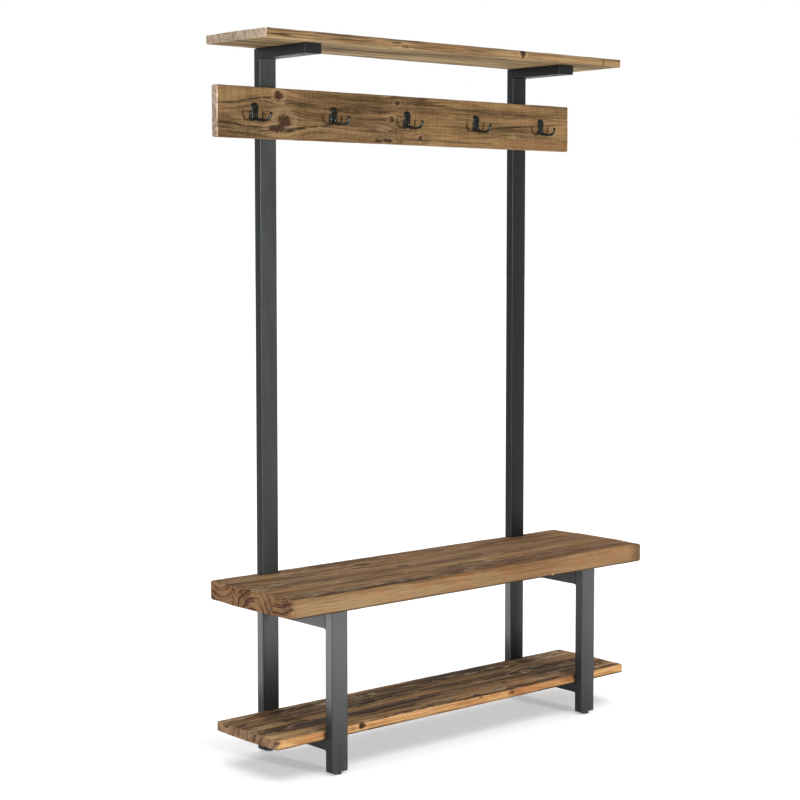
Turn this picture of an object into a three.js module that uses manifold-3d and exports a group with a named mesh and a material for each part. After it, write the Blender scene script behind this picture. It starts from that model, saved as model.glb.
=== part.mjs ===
// Hall tree: an entryway bench with a lower shelf, a hook rail and a top shelf on two welded side frames.
// Millimetres, +Z up, +X to the right and +Y to the rear, with the origin on the floor under the middle.
import * as THREE from "three";
import { mergeVertices } from "three/addons/utils/BufferGeometryUtils.js";
import Module from "manifold-3d";

const wasm = await Module();
wasm.setup();

// ---- Driving dimensions ----

// Boards
const boardLength = 1219;
const overallHeight = 1788;
const seatDepth = 340;
const seatThickness = 49;
const seatHeight = 457;
const seatOverhang = 40; // the seat's front edge stands this far before the legs
const seatEase = 4; // radius worn on the seat's edges
const seatCorner = 10; // plan radius of the seat's corners
const shelfThickness = 24;
const shelfHeight = 108; // top face of the lower shelf
const topShelfDepth = 248;
const topShelfThickness = 22;
const railHeight = 127;
const railThickness = 23;
const railDrop = 96.5; // from the top shelf's underside to the rail's upper edge
const boardEase = 2.5; // radius worn on the thinner boards' edges
const boardCorner = 6; // plan radius of the thinner boards' corners

// Stave widths counted from the front edge; the rearmost stave of each board takes what is left
const seatStaves = [79, 140, 25];
const shelfStaves = [104, 84];
const topShelfStaves = [78, 35, 66];

// Steel side frames
const frameInset = 172.5; // from the boards' ends to each frame's middle plane
const tubeWidth = 50;
const tubeDepth = 25;
const tubeWall = 2;
const tubeCorner = 3;
const seatBearerHeight = 50;
const armLength = 205; // from the post's rear face to the front of the arm's cap
const weldLeg = 5; // concave weld fillets in the inner corners
const mitreGap = 0.3;
const capThickness = 2;
const capReach = 9; // behind the cap, inside the arm
const plugWall = 2.5; // of the spigots on the caps and foot inserts

// Levelling feet
const padRadius = 12;
const padHeight = 4;
const padFloor = 1.4; // material left under the stem
const padEdge = 1.2;
const hexAcross = 13;
const hexHeight = 3;
const stemRadius = 4;
const stemReach = 30; // stem above its hexagon
const insertFlange = 2;
const insertReach = 18; // above the flange, inside the tube
const insertBossRadius = 7.5;
const insertRib = 2.4;

// Bolts, whose heads lie inside the tubes
const boltRadius = 3;
const boltTip = 1.5; // chamfer on the point
const boltHeadAcross = 10;
const boltHeadHeight = 4;
const boltFlangeRadius = 6.5;
const boltFlangeHeight = 1.4;
const boltHoleRadius = 3.6; // in the wall that the head bears on
const accessRadius = 7.5; // in the wall behind the head, for the socket
const boltCover = 8; // wood left beyond a bolt's tip
const boltInset = 45; // from the bearers' ends to their bolts
const railBoltSpread = 70;
const armBoltInset = 40;

// Coat hooks
const hookCount = 5;
const hookInset = 113.5; // from the rail's ends to the outer hooks' middles
const plateTopRadius = 11;
const plateFootRadius = 9;
const plateTop = 24; // above the hook's middle
const plateFoot = -20;
const plateThickness = 3.4;
const plateRound = 1.6;
const ridgeRadius = 1.7; // at the top of the ridge that runs down the plate into each prong
const ridgeTop = { x: 1.2, out: 2.6, z: 6 };
const prongRadius = 3.2;
const prongTipRadius = 3.8;
const prongRoot = { x: 4, out: 4, z: -15 };
const prongFall = { x: 9, out: 7, z: -20 };
const prongRise = { x: 34, out: 24, z: -26 };
const prongTip = { x: 31, out: 25, z: -2 };
const hookScrewRadius = 2.1;
const hookScrewHeights = [15, 4];
const hookScrewSink = 1.3; // countersink depth

// Clearances
const fitGap = 0.3; // between a plug, stem or bolt and its hole
const shelfGap = 0.5; // lower shelf to the legs and to the posts
const notchGap = 2; // seat notch to the posts' sides
const notchDepthGap = 1; // seat notch to the posts' front faces

// Facets: sides round a full circle, or steps along a quarter turn
const drillSides = 12;
const accessSides = 16;
const boltSides = 10;
const stemSides = 12;
const padSides = 20;
const prongSides = 8;
const screwSides = 8;
const cornerSteps = 4;
const easeSteps = 2;
const weldSteps = 4;
const plateSteps = 5;
const prongSteps = 11; // along each prong

// ---- Places worked out from the dimensions ----

const seatFront = -seatDepth / 2;
const rearFace = seatDepth / 2;
const postFront = rearFace - tubeDepth;
const legFront = seatFront + seatOverhang;
const legRear = legFront + tubeDepth;
const bearerLength = postFront - legRear;
const seatUnderside = seatHeight - seatThickness;
const shelfUnderside = shelfHeight - shelfThickness;
const topShelfUnderside = overallHeight - topShelfThickness;
const railCentre = topShelfUnderside - railDrop - railHeight / 2;
const frameSpacing = boardLength - 2 * frameInset;
const hookSpacing = (boardLength - 2 * hookInset) / (hookCount - 1);
const footHeight = padHeight + hexHeight;
const tubeBottom = footHeight + insertFlange;

// ---- Materials ----

const paint = (color, roughness, metalness) =>
  new THREE.MeshStandardMaterial({ color, roughness, metalness });
const steelPaint = () => paint(0x3d4144, 0.5, 0.6);
const seatWood = () => paint(0x8c6f52, 0.75, 0);
const shelfWood = () => paint(0x86694a, 0.8, 0);
const railWood = () => paint(0x87684a, 0.78, 0);
const bronze = () => paint(0x2b2823, 0.42, 0.8);
const zincSteel = () => paint(0x8d9093, 0.35, 0.9);
const blackPlastic = () => paint(0x151617, 0.55, 0);

// ---- Solids ----

// A closed geometry as a solid that can be joined and cut.
function solidOf(geometry) {
  const bare = geometry.clone();
  bare.deleteAttribute("normal");
  bare.deleteAttribute("uv");
  const merged = mergeVertices(bare, 1e-4);
  return new wasm.Manifold(
    new wasm.Mesh({
      numProp: 3,
      vertProperties: merged.attributes.position.array,
      triVerts: new Uint32Array(merged.index.array),
    }),
  );
}

function geometryOf(solid) {
  const mesh = solid.getMesh();
  const geometry = new THREE.BufferGeometry();
  geometry.setAttribute("position", new THREE.BufferAttribute(mesh.vertProperties, 3));
  geometry.setIndex(new THREE.BufferAttribute(mesh.triVerts, 1));
  const flat = geometry.toNonIndexed();
  flat.computeVertexNormals();
  return flat;
}

const join = (...geometries) => geometryOf(geometries.map(solidOf).reduce((all, one) => all.add(one)));

function cut(geometry, tools) {
  if (!tools.length) return geometry;
  return geometryOf(tools.map(solidOf).reduce((left, tool) => left.subtract(tool), solidOf(geometry)));
}

const common = (a, b) => geometryOf(solidOf(a).intersect(solidOf(b)));

const box = (x, y, z) => new THREE.BoxGeometry(x, y, z);

// A cylinder whose axis is Z, standing on z = 0.
const rod = (radius, length, sides) =>
  new THREE.CylinderGeometry(radius, radius, length, sides).rotateX(Math.PI / 2).translate(0, 0, length / 2);

const hexagon = (across, height) => rod(across / Math.sqrt(3), height, 6);

const revolve = (points, sides) =>
  new THREE.LatheGeometry(points.map(([r, z]) => new THREE.Vector2(r, z)), sides).rotateX(Math.PI / 2);

// A rectangle centred on the origin, with round corners.
function roundedRectangle(width, depth, radius) {
  const x = width / 2;
  const y = depth / 2;
  const outline = new THREE.Shape();
  outline.moveTo(-x + radius, -y);
  outline.absarc(x - radius, -y + radius, radius, -Math.PI / 2, 0);
  outline.absarc(x - radius, y - radius, radius, 0, Math.PI / 2);
  outline.absarc(-x + radius, y - radius, radius, Math.PI / 2, Math.PI);
  outline.absarc(-x + radius, -y + radius, radius, Math.PI, 1.5 * Math.PI);
  return outline;
}

// The outline of a hollow inside such a rectangle: its corners are cut off straight.
function hollowOutline(width, depth, corner) {
  const x = width / 2;
  const y = depth / 2;
  const points = [];
  for (const [i, j] of [
    [-1, -1],
    [1, -1],
    [1, 1],
    [-1, 1],
  ]) {
    const along = new THREE.Vector2(i * (x - corner), j * y);
    const across = new THREE.Vector2(i * x, j * (y - corner));
    points.push(...(i * j > 0 ? [across, along] : [along, across]));
  }
  return new THREE.Path(points);
}

// three.js gives each arc of a shape twice its curveSegments.
const extrude = (shape, depth, arcSteps) =>
  new THREE.ExtrudeGeometry(shape, { depth, curveSegments: arcSteps / 2, bevelEnabled: false });

// ---- Steel tubes ----

// Rectangular tube along Z from z = 0. At each height in drillings its -Y wall has a bolt hole and its
// +Y wall the wider access hole to it.
function tube(width, depth, length, drillings = []) {
  const outline = roundedRectangle(width, depth, tubeCorner);
  const innerCorner = Math.max(tubeCorner - tubeWall, tubeWall / 4);
  outline.holes.push(hollowOutline(width - 2 * tubeWall, depth - 2 * tubeWall, innerCorner));
  const drills = drillings.flatMap((z) => [
    rod(boltHoleRadius, depth, drillSides).rotateX(Math.PI / 2).translate(0, 0, z),
    rod(accessRadius, depth, accessSides).rotateX(-Math.PI / 2).translate(0, 0, z),
  ]);
  return cut(extrude(outline, length, cornerSteps), drills);
}

// Slants the far end of a tube to 45 degrees; lean +1 makes its +Y side the long one.
function mitre(geometry, length, lean) {
  const place = geometry.attributes.position;
  for (let i = 0; i < place.count; i++) {
    if (Math.abs(place.getZ(i) - length) < 1e-3) place.setZ(i, length + lean * place.getY(i));
  }
  return geometry;
}

// Concave weld fillet along X in the corner between a face at y = 0 that runs along +Z and one at z = 0.
function weldFillet() {
  const run = tubeWidth - 2 * tubeCorner;
  const root = tubeWall / 2; // sunk into the tube that carries it
  const outline = new THREE.Shape();
  outline.moveTo(0, -root);
  outline.lineTo(weldLeg, -root);
  outline.lineTo(weldLeg, 0);
  outline.absarc(weldLeg, weldLeg, weldLeg, 1.5 * Math.PI, Math.PI, true);
  return extrude(outline, run, weldSteps).rotateY(-Math.PI / 2).translate(run / 2, 0, 0);
}

// A cross tube between leg and post with a weld fillet under each end; local +Y faces the floor.
function bearer(height) {
  const drillings = [boltInset, bearerLength - boltInset];
  const atLeg = weldFillet().translate(0, height / 2, 0);
  const atPost = weldFillet().rotateZ(Math.PI).rotateX(Math.PI).translate(0, height / 2, bearerLength);
  return join(tube(tubeWidth, height, bearerLength, drillings), atLeg, atPost);
}

// The top arm runs from its cap to the mitred corner over the post.
function topArm() {
  const length = armLength - capThickness - tubeDepth / 2 - mitreGap * Math.SQRT2;
  const reach = armLength - capThickness - tubeDepth; // cap to the post's front face
  const fillet = weldFillet().rotateZ(Math.PI).rotateX(Math.PI).translate(0, tubeDepth / 2, reach);
  const pipe = mitre(tube(tubeWidth, tubeDepth, length, [armBoltInset, reach - armBoltInset]), length, -1);
  return join(pipe, fillet);
}

function post() {
  const length = topShelfUnderside - tubeDepth / 2 - tubeBottom;
  const drillings = [-1, 1].map((side) => railCentre + (side * railBoltSpread) / 2 - tubeBottom);
  return mitre(tube(tubeWidth, tubeDepth, length, drillings), length, 1);
}

// A plug's flange, which covers the tube's end, with the hollow spigot that fits inside the tube.
function plug(flange, reach) {
  const inset = 2 * (tubeWall + fitGap);
  const width = tubeWidth - inset;
  const depth = tubeDepth - inset;
  const spigot = roundedRectangle(width, depth, tubeWall);
  spigot.holes.push(hollowOutline(width - 2 * plugWall, depth - 2 * plugWall, plugWall / 4));
  const plate = extrude(roundedRectangle(tubeWidth, tubeDepth, tubeCorner), flange, cornerSteps);
  return join(plate, extrude(spigot, flange + reach, cornerSteps / 2));
}

// ---- Boards ----

// A flat board with eased edges, from z = 0 to its thickness; the outline is its largest plan.
function easedSlab(outline, thickness, ease) {
  return new THREE.ExtrudeGeometry(outline, {
    depth: thickness - 2 * ease,
    curveSegments: easeSteps,
    bevelThickness: ease,
    bevelSize: ease,
    bevelOffset: -ease,
    bevelSegments: easeSteps,
  }).translate(0, 0, ease);
}

// The seat's plan: a rectangle with a notch for each post in its rear edge.
function seatOutline() {
  const x = boardLength / 2;
  const y = seatDepth / 2;
  const half = tubeWidth / 2 + notchGap;
  const floor = postFront - notchDepthGap;
  const outline = new THREE.Shape();
  outline.moveTo(-x + seatCorner, -y);
  outline.absarc(x - seatCorner, -y + seatCorner, seatCorner, -Math.PI / 2, 0);
  outline.absarc(x - seatCorner, y - seatCorner, seatCorner, 0, Math.PI / 2);
  for (const centre of [frameSpacing / 2, -frameSpacing / 2]) {
    outline.lineTo(centre + half, y);
    outline.lineTo(centre + half, floor);
    outline.lineTo(centre - half, floor);
    outline.lineTo(centre - half, y);
  }
  outline.absarc(-x + seatCorner, y - seatCorner, seatCorner, Math.PI / 2, Math.PI);
  outline.absarc(-x + seatCorner, -y + seatCorner, seatCorner, Math.PI, 1.5 * Math.PI);
  return outline;
}

// The pilot holes under a board, for bolts that enter from below at each [x, y].
function pilotHoles(places, thickness) {
  const depth = thickness - boltCover + fitGap;
  return places.map(([x, y]) => rod(boltRadius + fitGap, 2 * depth, boltSides).translate(x, y, -depth));
}

// Saws a slab lengthwise into its glued staves and adds them to the group, from the front one backwards.
function addStaves(group, name, slab, depth, widths, material) {
  const seams = [-depth];
  let seam = -depth / 2;
  for (const width of widths) {
    seam += width;
    seams.push(seam);
  }
  seams.push(depth);
  for (let i = 0; i + 1 < seams.length; i++) {
    const lane = box(2 * boardLength, seams[i + 1] - seams[i], depth);
    lane.translate(0, (seams[i] + seams[i + 1]) / 2, 0);
    addMesh(group, `${name}_stave_${i + 1}`, common(slab, lane), material);
  }
}

// ---- Fasteners ----

// From under the head, through the tube's wall and into a board.
const boltLength = (boardThickness) => tubeWall + boardThickness - boltCover;

// A flanged hexagon bolt along +Z whose bearing face is at z = 0.
function bolt(length) {
  const shank = revolve(
    [
      [0, -boltFlangeHeight],
      [boltFlangeRadius, -boltFlangeHeight],
      [boltFlangeRadius, 0],
      [boltRadius, 0],
      [boltRadius, length - boltTip],
      [boltRadius - boltTip, length],
      [0, length],
    ],
    boltSides,
  );
  return join(shank, hexagon(boltHeadAcross, boltHeadHeight).translate(0, 0, -boltHeadHeight));
}

// ---- Levelling feet ----

// Plug that the tube stands on, with a ribbed boss for the stem.
function footInsert() {
  const height = insertFlange + insertReach;
  const rib = box(tubeWidth - 2 * (tubeWall + plugWall), insertRib, height).translate(0, 0, height / 2);
  const body = join(plug(insertFlange, insertReach), rib, rod(insertBossRadius, height, stemSides));
  return cut(body, [rod(stemRadius + fitGap, 3 * height, stemSides).translate(0, 0, -height)]);
}

// Stem with its hexagon, turned from below to raise the corner that it carries; z = 0 is the pad's underside.
function footStem() {
  const shank = rod(stemRadius, footHeight + stemReach - padFloor, stemSides).translate(0, 0, padFloor);
  return join(shank, hexagon(hexAcross, hexHeight).translate(0, 0, padHeight));
}

function footPad() {
  return revolve(
    [
      [0, 0],
      [padRadius - padEdge, 0],
      [padRadius, padEdge],
      [padRadius - padEdge, padHeight],
      [stemRadius + fitGap, padHeight],
      [stemRadius + fitGap, padFloor],
      [0, padFloor],
    ],
    padSides,
  );
}

// ---- Coat hooks ----

// Tongue-shaped plate standing out from the rail along +Z, its back at z = 0, with +Y up.
function hookPlate() {
  const upper = plateTop - plateTopRadius;
  const lower = plateFoot + plateFootRadius;
  const lean = Math.asin((plateTopRadius - plateFootRadius) / (upper - lower));
  const outline = new THREE.Shape();
  outline.absarc(0, upper, plateTopRadius, -lean, Math.PI + lean);
  outline.absarc(0, lower, plateFootRadius, Math.PI + lean, 2 * Math.PI - lean);
  const domed = new THREE.ExtrudeGeometry(outline, {
    depth: plateThickness - plateRound,
    curveSegments: plateSteps,
    bevelThickness: plateRound,
    bevelSize: plateRound,
    bevelOffset: -plateRound,
    bevelSegments: easeSteps,
  });
  const room = 4 * plateTop;
  return common(domed, box(room, room, room).translate(0, 0, room / 2));
}

// A tapered round bar between two points.
function taperedBar(start, end, startRadius, endRadius, sides) {
  const way = end.clone().sub(start);
  const turn = new THREE.Quaternion().setFromUnitVectors(new THREE.Vector3(0, 1, 0), way.clone().normalize());
  const middle = start.clone().add(end).divideScalar(2);
  const bar = new THREE.CylinderGeometry(endRadius, startRadius, way.length(), sides);
  return bar.applyQuaternion(turn).translate(middle.x, middle.y, middle.z);
}

// One round prong with its ridge on the plate: it leaves the plate's foot and turns up to a ball tip.
// side is -1 or +1.
function prong(side) {
  const at = ({ x, out, z }) => new THREE.Vector3(side * x, z, out);
  const path = new THREE.CubicBezierCurve3(at(prongRoot), at(prongFall), at(prongRise), at(prongTip));
  const section = new THREE.Shape().absarc(0, 0, prongRadius, 0, 2 * Math.PI);
  const arm = new THREE.ExtrudeGeometry(section, {
    steps: prongSteps,
    curveSegments: prongSides / 2,
    extrudePath: path,
  });
  const ball = new THREE.SphereGeometry(prongTipRadius, prongSides, 0.75 * prongSides);
  const ridge = taperedBar(at(ridgeTop), at(prongRoot), ridgeRadius, prongRadius, prongSides);
  return [ridge, arm, ball.translate(side * prongTip.x, prongTip.z, prongTip.out)];
}

function coatHook() {
  const screws = hookScrewHeights.map((height) =>
    revolve(
      [
        [0, -plateThickness],
        [hookScrewRadius, -plateThickness],
        [hookScrewRadius, plateThickness - hookScrewSink],
        [hookScrewRadius + 2 * hookScrewSink, plateThickness + hookScrewSink],
        [0, plateThickness + hookScrewSink],
      ],
      screwSides,
    ).translate(0, height, 0),
  );
  const room = 4 * plateTop;
  const casting = join(hookPlate(), ...prong(-1), ...prong(1));
  return cut(common(casting, box(room, room, room).translate(0, 0, room / 2)), screws);
}

// ---- Assembly ----

function addMesh(group, name, geometry, material, x = 0, y = 0, z = 0) {
  const mesh = new THREE.Mesh(geometry, material());
  mesh.name = name;
  mesh.position.set(x, y, z);
  group.add(mesh);
  return mesh;
}

// A group whose local +Z points to the rear and whose local +Y points to the floor.
function lyingGroup(parent, y, z) {
  const group = new THREE.Group();
  group.position.set(0, y, z);
  group.rotation.x = -Math.PI / 2;
  parent.add(group);
  return group;
}

const bench = new THREE.Group();
const frameSides = { left: -frameSpacing / 2, right: frameSpacing / 2 };
const bearerBoltPlaces = { front: legRear + boltInset, rear: postFront - boltInset };
const armFront = rearFace - armLength;
const armBoltPlaces = {
  front: armFront + capThickness + armBoltInset,
  rear: postFront - armBoltInset,
};

// Steel frames with their caps, feet and bolts
const postGeometry = post();
const legGeometry = tube(tubeWidth, tubeDepth, seatUnderside - tubeBottom);
const seatBearerGeometry = bearer(seatBearerHeight);
const shelfBearerGeometry = bearer(tubeDepth);
const armGeometry = topArm();
const capGeometry = plug(capThickness, capReach);
const insertGeometry = footInsert();
const stemGeometry = footStem();
const padGeometry = footPad();
const legMiddle = (legFront + legRear) / 2;
const postMiddle = (postFront + rearFace) / 2;
const footPlaces = { front: legMiddle, rear: postMiddle };
const upBolts = {
  seat: { places: bearerBoltPlaces, underside: seatUnderside, geometry: bolt(boltLength(seatThickness)) },
  shelf: { places: bearerBoltPlaces, underside: shelfUnderside, geometry: bolt(boltLength(shelfThickness)) },
  top_shelf: {
    places: armBoltPlaces,
    underside: topShelfUnderside,
    geometry: bolt(boltLength(topShelfThickness)),
  },
};
const railBolt = bolt(boltLength(railThickness));

for (const [side, x] of Object.entries(frameSides)) {
  const frame = new THREE.Group();
  frame.position.x = x;
  bench.add(frame);

  addMesh(frame, `${side}_post`, postGeometry, steelPaint, 0, postMiddle, tubeBottom);
  addMesh(frame, `${side}_leg`, legGeometry, steelPaint, 0, legMiddle, tubeBottom);
  const underSeat = lyingGroup(frame, legRear, seatUnderside - seatBearerHeight / 2);
  addMesh(underSeat, `${side}_seat_bearer`, seatBearerGeometry, steelPaint);
  const underShelf = lyingGroup(frame, legRear, shelfUnderside - tubeDepth / 2);
  addMesh(underShelf, `${side}_shelf_bearer`, shelfBearerGeometry, steelPaint);
  const underTop = lyingGroup(frame, armFront, topShelfUnderside - tubeDepth / 2);
  addMesh(underTop, `${side}_top_arm`, armGeometry, steelPaint, 0, 0, capThickness);
  addMesh(underTop, `${side}_arm_cap`, capGeometry, steelPaint);

  for (const [end, y] of Object.entries(footPlaces)) {
    addMesh(frame, `${end}_${side}_foot_insert`, insertGeometry, blackPlastic, 0, y, footHeight);
    addMesh(frame, `${end}_${side}_foot_stem`, stemGeometry, zincSteel, 0, y, 0);
    addMesh(frame, `${end}_${side}_foot_pad`, padGeometry, blackPlastic, 0, y, 0);
  }
  for (const [board, { places, underside, geometry }] of Object.entries(upBolts)) {
    for (const [end, y] of Object.entries(places)) {
      addMesh(frame, `${end}_${side}_${board}_bolt`, geometry, zincSteel, 0, y, underside - tubeWall);
    }
  }
  for (const [end, lift] of Object.entries({ upper: railBoltSpread / 2, lower: -railBoltSpread / 2 })) {
    const forward = addMesh(frame, `${end}_${side}_rail_bolt`, railBolt, zincSteel);
    forward.position.set(0, postFront + tubeWall, railCentre + lift);
    forward.rotation.x = Math.PI / 2;
  }
}

// Boards, each in a group whose origin is the middle of its underside
const boltsUnder = (places, middle) =>
  Object.values(frameSides).flatMap((x) => Object.values(places).map((y) => [x, y - middle]));

function addBoard(name, outline, depth, thickness, ease, widths, material, middle, underside, places) {
  const group = new THREE.Group();
  group.position.set(0, middle, underside);
  bench.add(group);
  const slab = cut(easedSlab(outline, thickness, ease), pilotHoles(boltsUnder(places, middle), thickness));
  addStaves(group, name, slab, depth, widths, material);
}

addBoard(
  "seat", seatOutline(), seatDepth, seatThickness, seatEase, seatStaves, seatWood,
  0, seatUnderside, bearerBoltPlaces,
);
const shelfDepth = bearerLength - 2 * shelfGap;
addBoard(
  "shelf", roundedRectangle(boardLength, shelfDepth, boardCorner), shelfDepth, shelfThickness, boardEase,
  shelfStaves, shelfWood, (legRear + postFront) / 2, shelfUnderside, bearerBoltPlaces,
);
addBoard(
  "top_shelf", roundedRectangle(boardLength, topShelfDepth, boardCorner), topShelfDepth, topShelfThickness,
  boardEase, topShelfStaves, shelfWood, rearFace - topShelfDepth / 2, topShelfUnderside, armBoltPlaces,
);

// Hook rail and hooks: local +Z points forwards, from the posts' front faces to the rail's own
const rail = new THREE.Group();
rail.position.set(0, postFront, railCentre);
rail.rotation.x = Math.PI / 2;
bench.add(rail);
const railBoltLifts = [-railBoltSpread / 2, railBoltSpread / 2];
const railBoltPlaces = Object.values(frameSides).flatMap((x) => railBoltLifts.map((y) => [x, y]));
const railSlab = easedSlab(roundedRectangle(boardLength, railHeight, boardCorner), railThickness, boardEase);
addMesh(rail, "hook_rail", cut(railSlab, pilotHoles(railBoltPlaces, railThickness)), railWood);
const hookGeometry = coatHook();
for (let i = 0; i < hookCount; i++) {
  const x = (i - (hookCount - 1) / 2) * hookSpacing;
  addMesh(rail, `coat_hook_${i + 1}`, hookGeometry, bronze, x, 0, railThickness);
}

export default bench;
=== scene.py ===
"""Looks of the hall tree: boards of reclaimed wood, welded frames in charcoal steel and bronze coat hooks."""

import math

import bpy
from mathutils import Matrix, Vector


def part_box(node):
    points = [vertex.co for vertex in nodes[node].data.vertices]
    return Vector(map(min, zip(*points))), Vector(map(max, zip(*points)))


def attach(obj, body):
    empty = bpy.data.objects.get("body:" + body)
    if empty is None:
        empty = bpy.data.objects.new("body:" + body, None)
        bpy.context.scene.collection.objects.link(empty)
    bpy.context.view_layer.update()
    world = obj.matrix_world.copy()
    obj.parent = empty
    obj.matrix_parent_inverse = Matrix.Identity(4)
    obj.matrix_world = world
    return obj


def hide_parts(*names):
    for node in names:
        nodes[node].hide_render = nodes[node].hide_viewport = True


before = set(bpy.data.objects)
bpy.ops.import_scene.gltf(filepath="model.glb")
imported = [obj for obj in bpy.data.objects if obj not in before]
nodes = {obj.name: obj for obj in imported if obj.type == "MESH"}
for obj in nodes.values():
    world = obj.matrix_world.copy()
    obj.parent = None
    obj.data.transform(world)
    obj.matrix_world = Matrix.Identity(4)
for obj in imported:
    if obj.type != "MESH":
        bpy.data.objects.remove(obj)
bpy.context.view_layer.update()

MM = 0.001
TOUCH = 0.05 * MM  # places closer than this are the same
MERGE = 0.01 * MM  # corners closer than this become one
ROOT = "bench"
SIDES = ("left", "right")


# ---- Modelling by hand ----


def deselect_all():
    bpy.ops.object.select_all(action="DESELECT")


def activate(*pieces):
    """Selects these pieces and nothing else; the first is the active one."""
    deselect_all()
    for piece in pieces:
        piece.select_set(True)
    bpy.context.view_layer.objects.active = pieces[0]


def choose(piece, kind, test):
    """Opens edit mode with only those faces, edges or vertices selected whose place passes the test.

    The test is given the middle, and the normal of a face or the direction of an edge."""
    activate(piece)
    bpy.ops.object.mode_set(mode="EDIT")
    bpy.ops.mesh.select_mode(type=kind)
    bpy.ops.mesh.select_all(action="DESELECT")
    bpy.ops.object.mode_set(mode="OBJECT")
    mesh = piece.data
    if kind == "FACE":
        for face in mesh.polygons:
            face.select = test(face.center, face.normal)
    elif kind == "EDGE":
        for edge in mesh.edges:
            start, end = (mesh.vertices[i].co for i in edge.vertices)
            edge.select = test((start + end) / 2, (end - start).normalized())
    else:
        for vertex in mesh.vertices:
            vertex.select = test(vertex.co, None)
    bpy.ops.object.mode_set(mode="EDIT")


def close_edit():
    bpy.ops.object.mode_set(mode="OBJECT")


def settle(piece):
    """Puts the piece's place into its mesh."""
    activate(piece)
    bpy.ops.object.transform_apply(location=True, rotation=True, scale=True)
    return piece


def block(name, low, high):
    deselect_all()
    bpy.ops.mesh.primitive_cube_add(size=1, location=(Vector(low) + Vector(high)) / 2)
    piece = bpy.context.object
    piece.name = name
    piece.scale = Vector(high) - Vector(low)
    return settle(piece)


def saw(piece, axis, places):
    """Cuts a loop of edges round the piece at each place along the axis (0, 1 or 2)."""
    normal = Vector((0, 0, 0))
    normal[axis] = 1
    choose(piece, "VERT", lambda place, _: True)
    for place in places:
        bpy.ops.mesh.select_all(action="SELECT")
        bpy.ops.mesh.bisect(plane_co=normal * place, plane_no=normal)
    close_edit()


def bevel(piece, width, steps, test):
    choose(piece, "EDGE", test)
    bpy.ops.mesh.bevel(offset=width, segments=steps, affect="EDGES")
    close_edit()


def pull(piece, step, test):
    """Extrudes the faces that pass the test by a step along X, Y and Z."""
    choose(piece, "FACE", test)
    bpy.ops.mesh.extrude_region_move(TRANSFORM_OT_translate={"value": step})
    close_edit()


def apply(piece, kind, **settings):
    """Adds a modifier, sets it and applies it."""
    activate(piece)
    modifier = piece.modifiers.new(kind.title(), kind)
    for name, value in settings.items():
        setattr(modifier, name, value)
    bpy.ops.object.modifier_apply(modifier=modifier.name)


def cut(piece, *cutters):
    """Subtracts the cutters, which are used up."""
    for cutter in cutters:
        apply(piece, "BOOLEAN", object=cutter, operation="DIFFERENCE", solver="EXACT")
        bpy.data.objects.remove(cutter)


def copy_of(piece, name, shift):
    """A copy with its own mesh, moved by the shift."""
    activate(piece)
    bpy.ops.object.duplicate(linked=False)
    made = bpy.context.object
    made.name = name
    made.location = shift
    return settle(made)


def near(value, *targets, slack=TOUCH):
    return any(abs(value - target) < slack for target in targets)


def wear(piece, name, depth, size, weight):
    """Sinks the surface unevenly by up to depth; weight(place) from 0 to 1 says how much."""
    group = piece.vertex_groups.new(name="worn")
    for vertex in piece.data.vertices:
        group.add([vertex.index], weight(vertex.co), "REPLACE")
    clouds = bpy.data.textures.new(name, "CLOUDS")
    clouds.noise_scale = size
    clouds.noise_depth = 2
    apply(piece, "DISPLACE", texture=clouds, texture_coords="LOCAL", mid_level=1, strength=depth,
          vertex_group="worn")
    piece.vertex_groups.clear()


def finish_piece(piece, material, body=ROOT, angle=35, replaced=()):
    """Shading, material, body and slot of a finished piece."""
    activate(piece)
    bpy.ops.object.shade_smooth_by_angle(angle=math.radians(angle))
    piece.data.materials.clear()
    piece.data.materials.append(material)
    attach(piece, body)
    if replaced:
        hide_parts(*replaced)
    return piece


# ---- Shader maths ----


def tone(red, green, blue):
    """A colour from its display values, 0 to 255, by the curve of a standard display."""
    shares = [value / 255 for value in (red, green, blue)]
    return tuple(((v + 0.055) / 1.055) ** 2.4 if v > 0.04 else v / 12.92 for v in shares) + (1,)


class Wire:
    """A socket's value, so that shader maths reads as an expression."""

    def __init__(self, finish, socket):
        self.finish = finish
        self.socket = socket

    def __add__(self, other):
        return self.finish.math("ADD", self, other)

    __radd__ = __add__

    def __mul__(self, other):
        return self.finish.math("MULTIPLY", self, other)

    __rmul__ = __mul__

    def __sub__(self, other):
        return self.finish.math("SUBTRACT", self, other)

    def __rsub__(self, other):
        return self.finish.math("SUBTRACT", other, self)

    def __truediv__(self, other):
        return self.finish.math("DIVIDE", self, other)

    def __pow__(self, other):
        return self.finish.math("POWER", self, other)

    def __rpow__(self, other):
        return self.finish.math("POWER", other, self)


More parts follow.
